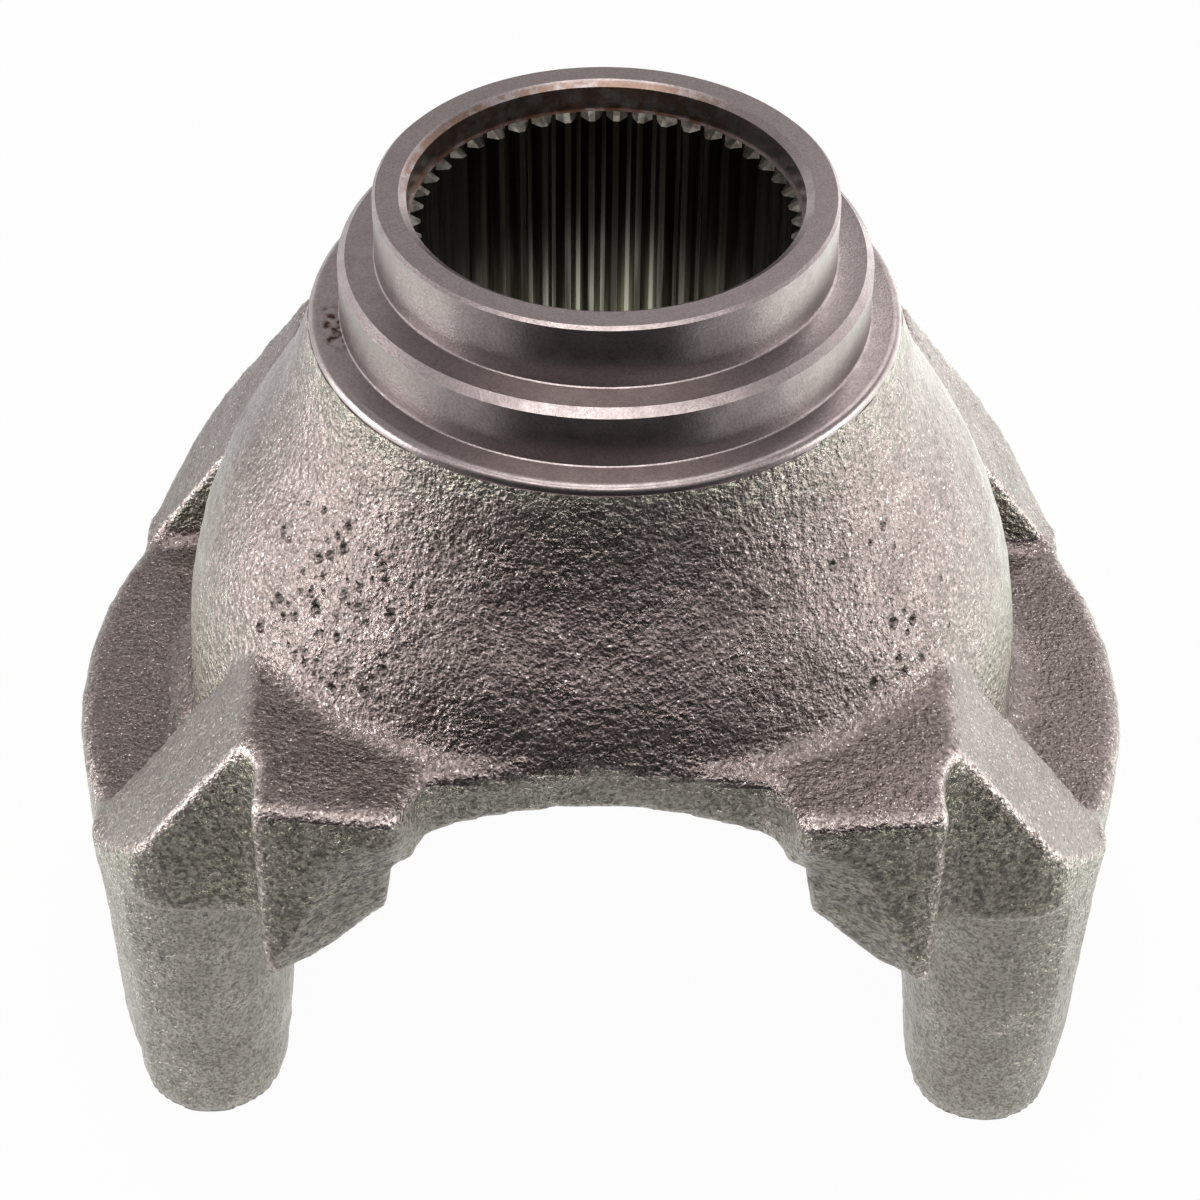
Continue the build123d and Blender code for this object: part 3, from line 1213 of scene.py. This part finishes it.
@dataclass
class Studio:
    """White floor and surroundings, with dark and bright screens that shape the metal."""

    floor_size: float = 12.0
    floor_white: float = 0.96
    floor_grey: float = 0.85
    floor_roughness: float = 0.9
    surround_level: float = 0.6
    screen_distance: float = 1.6
    screen_step: float = 7.5
    eye_level: float = 0.08
    floor_gap: float = 0.004
    screens: tuple[Screen, ...] = (
        Screen("front_low", 0.03, (-70, 65), (0, 12)),
        Screen("front_middle", 0.12, (-45, 20), (12, 28)),
        Screen("front_high", 0.25, (-45, 15), (28, 42)),
        Screen("front_key", 7.0, (-75, 70), (42, 55)),
        Screen("front_top", 0.35, (-45, 15), (56, 68)),
        Screen("front_table", 0.04, (-42, 40), (-28, -3)),
        Screen("front_left_table", 0.05, (-70, -42), (-15, -3)),
        Screen("front_right_table", 0.05, (40, 65), (-15, -3)),
        Screen("right_box", 9.0, (74, 102), (0, 20), (1.0, 0.99, 0.97)),
        Screen("right_far", 2.6, (104, 157), (0, 20), (1.0, 0.96, 0.95)),
        Screen("right_hood", 0.5, (28, 135), (28, 68)),
        Screen("right_window", 3.4, (138, 165), (28, 60)),
        Screen("right_table", 2.2, (78, 160), (-32, -14), (0.95, 1.0, 0.93)),
        Screen("right_edge", 3.2, (72, 152), (-14, -3), (1.0, 1.0, 0.97)),
        Screen("back_low", 0.05, (165, 195), (0, 12)),
        Screen("back_middle", 0.45, (165, 195), (12, 28)),
        Screen("back_high", 0.70, (162, 225), (28, 68)),
        Screen("back_table", 0.03, (165, 200), (-50, -3)),
        Screen("left_table", 1.2, (220, 285), (-32, -14), (0.95, 1.0, 0.93)),
        Screen("left_edge", 4.4, (248, 290), (-14, -3), (1.0, 0.98, 0.96)),
        Screen("left_box", 10.0, (256, 288), (0, 20), (1.0, 0.97, 0.96)),
        Screen("left_far", 1.6, (203, 256), (0, 20), (1.0, 0.96, 0.95)),
        Screen("left_hood", 0.55, (225, 315), (28, 68)),
    )
    lamp_watts: float = 9.0
    lamp_place: tuple[float, float, float] = (0.0, 0.0, 1.75)
    lamp_size: float = 0.9
    lamp_colour: Colour = (1.0, 0.97, 0.955)

    def build(self) -> None:
        """Makes floor, screens, lamp and world."""
        self.world()
        self.floor()
        for screen in self.screens:
            self.screen(screen)
        self.lamp()

    def screen_point(self, turn: float, rise: float) -> Vector:
        """Finds where a direction meets the screens.

        Args:
            turn: Direction in degrees, from the camera's side round to the right.
            rise: Elevation in degrees.

        Returns:
            The point in metres.
        """
        across = Vector((math.sin(math.radians(turn)), -math.cos(math.radians(turn)), 0))
        if rise < 0:
            return across * (self.eye_level / math.tan(math.radians(-rise))) + Vector((0, 0, self.floor_gap))
        angle = math.radians(rise)
        height = self.floor_gap if rise == 0 else self.eye_level + self.screen_distance * math.sin(angle)
        return across * self.screen_distance * math.cos(angle) + Vector((0, 0, height))

    def screen(self, screen: Screen) -> None:
        """Makes one screen.

        Args:
            screen: What it is like.
        """
        first, last = screen.turns
        low, high = screen.rises
        columns = math.ceil((last - first) / self.screen_step)
        rows = math.ceil((high - low) / self.screen_step)
        bm = bmesh.new()
        grid = []
        for i in range(columns + 1):
            turn = first + (last - first) * i / columns
            rises = (low + (high - low) * j / rows for j in range(rows + 1))
            grid.append([bm.verts.new(self.screen_point(turn, rise)) for rise in rises])
        for i in range(columns):
            for j in range(rows):
                bm.faces.new((grid[i][j], grid[i + 1][j], grid[i + 1][j + 1], grid[i][j + 1]))
        mesh = bpy.data.meshes.new(screen.name)
        bm.to_mesh(mesh)
        bm.free()
        card = link(bpy.data.objects.new(screen.name, mesh))
        material = bpy.data.materials.new(screen.name)
        material.use_nodes = True
        tree = material.node_tree
        material.cycles.emission_sampling = "AUTO" if screen.is_lamp else "NONE"
        glow = tree.nodes.new("ShaderNodeEmission")
        glow.inputs["Color"].default_value = (*screen.colour, 1.0)
        glow.inputs["Strength"].default_value = screen.level
        tree.links.new(glow.outputs[0], tree.nodes["Material Output"].inputs["Surface"])
        card.data.materials.append(material)
        card.visible_camera = False
        card.visible_diffuse = False
        card.visible_shadow = False

    def world(self) -> None:
        """Makes a surround that is white to camera, mirror and clear rays, and grey to the rest."""
        world = bpy.data.worlds.new("surround")
        bpy.context.scene.world = world
        world.use_nodes = True
        world.cycles.sampling_method = "NONE"
        tree = world.node_tree
        ground = tree.nodes["Background"]
        seen = seen_directly(tree)
        strength = tree.nodes.new("ShaderNodeMapRange")
        strength.inputs["To Min"].default_value = self.surround_level
        tree.links.new(seen, strength.inputs["Value"])
        tree.links.new(strength.outputs["Result"], ground.inputs["Strength"])
        ground.inputs["Color"].default_value = (1, 1, 1, 1)

    def floor(self) -> None:
        """Makes the floor: white to the camera and in the metal, with the yoke's soft shadow."""
        bpy.ops.mesh.primitive_plane_add(size=self.floor_size)
        floor = bpy.context.object
        floor.name = "floor"
        material = bpy.data.materials.new("white_floor")
        material.use_nodes = True
        tree = material.node_tree
        material.cycles.emission_sampling = "NONE"
        paint = tree.nodes["Principled BSDF"]
        paint.inputs["Base Color"].default_value = (self.floor_grey,) * 3 + (1.0,)
        paint.inputs["Roughness"].default_value = self.floor_roughness
        glow = tree.nodes.new("ShaderNodeEmission")
        glow.inputs["Strength"].default_value = 1.0
        blend = tree.nodes.new("ShaderNodeMixShader")
        share = tree.nodes.new("ShaderNodeMath")
        share.operation = "MULTIPLY"
        share.inputs[1].default_value = self.floor_white
        tree.links.new(seen_directly(tree), share.inputs[0])
        tree.links.new(share.outputs[0], blend.inputs[0])
        tree.links.new(paint.outputs[0], blend.inputs[1])
        tree.links.new(glow.outputs[0], blend.inputs[2])
        tree.links.new(blend.outputs[0], tree.nodes["Material Output"].inputs["Surface"])
        floor.data.materials.append(material)

    def lamp(self) -> None:
        """Makes the soft lamp above the yoke."""
        data = bpy.data.lights.new("key_lamp", "AREA")
        data.size = self.lamp_size
        data.energy = self.lamp_watts
        data.color = self.lamp_colour
        lamp = link(bpy.data.objects.new("key_lamp", data))
        lamp.location = self.lamp_place
        aim = Vector((0, 0, self.eye_level)) - lamp.location
        lamp.rotation_euler = aim.to_track_quat("-Z", "Y").to_euler()


def seen_directly(tree: bpy.types.NodeTree) -> bpy.types.NodeSocket:
    """Adds a test for rays of the camera, of mirrors and through clear matter.

    Args:
        tree: The node tree to add it to.

    Returns:
        A socket that is 1 for such rays.
    """
    path = tree.nodes.new("ShaderNodeLightPath")
    total = path.outputs["Is Camera Ray"]
    for kind in ("Is Glossy Ray", "Is Transmission Ray"):
        add = tree.nodes.new("ShaderNodeMath")
        add.operation = "MAXIMUM"
        tree.links.new(total, add.inputs[0])
        tree.links.new(path.outputs[kind], add.inputs[1])
        total = add.outputs[0]
    return total


def main() -> None:
    """Builds the yoke, the studio and the camera."""
    logging.basicConfig(level=logging.INFO, format="%(name)s: %(message)s")
    bpy.context.scene.view_settings.view_transform = "Standard"
    piece = Yoke(Blank(), Machining(), Pits()).build()
    log.info("built %s", piece.name)
    Studio().build()
    ProductCamera().build()


if __name__ == "__main__":
    main()
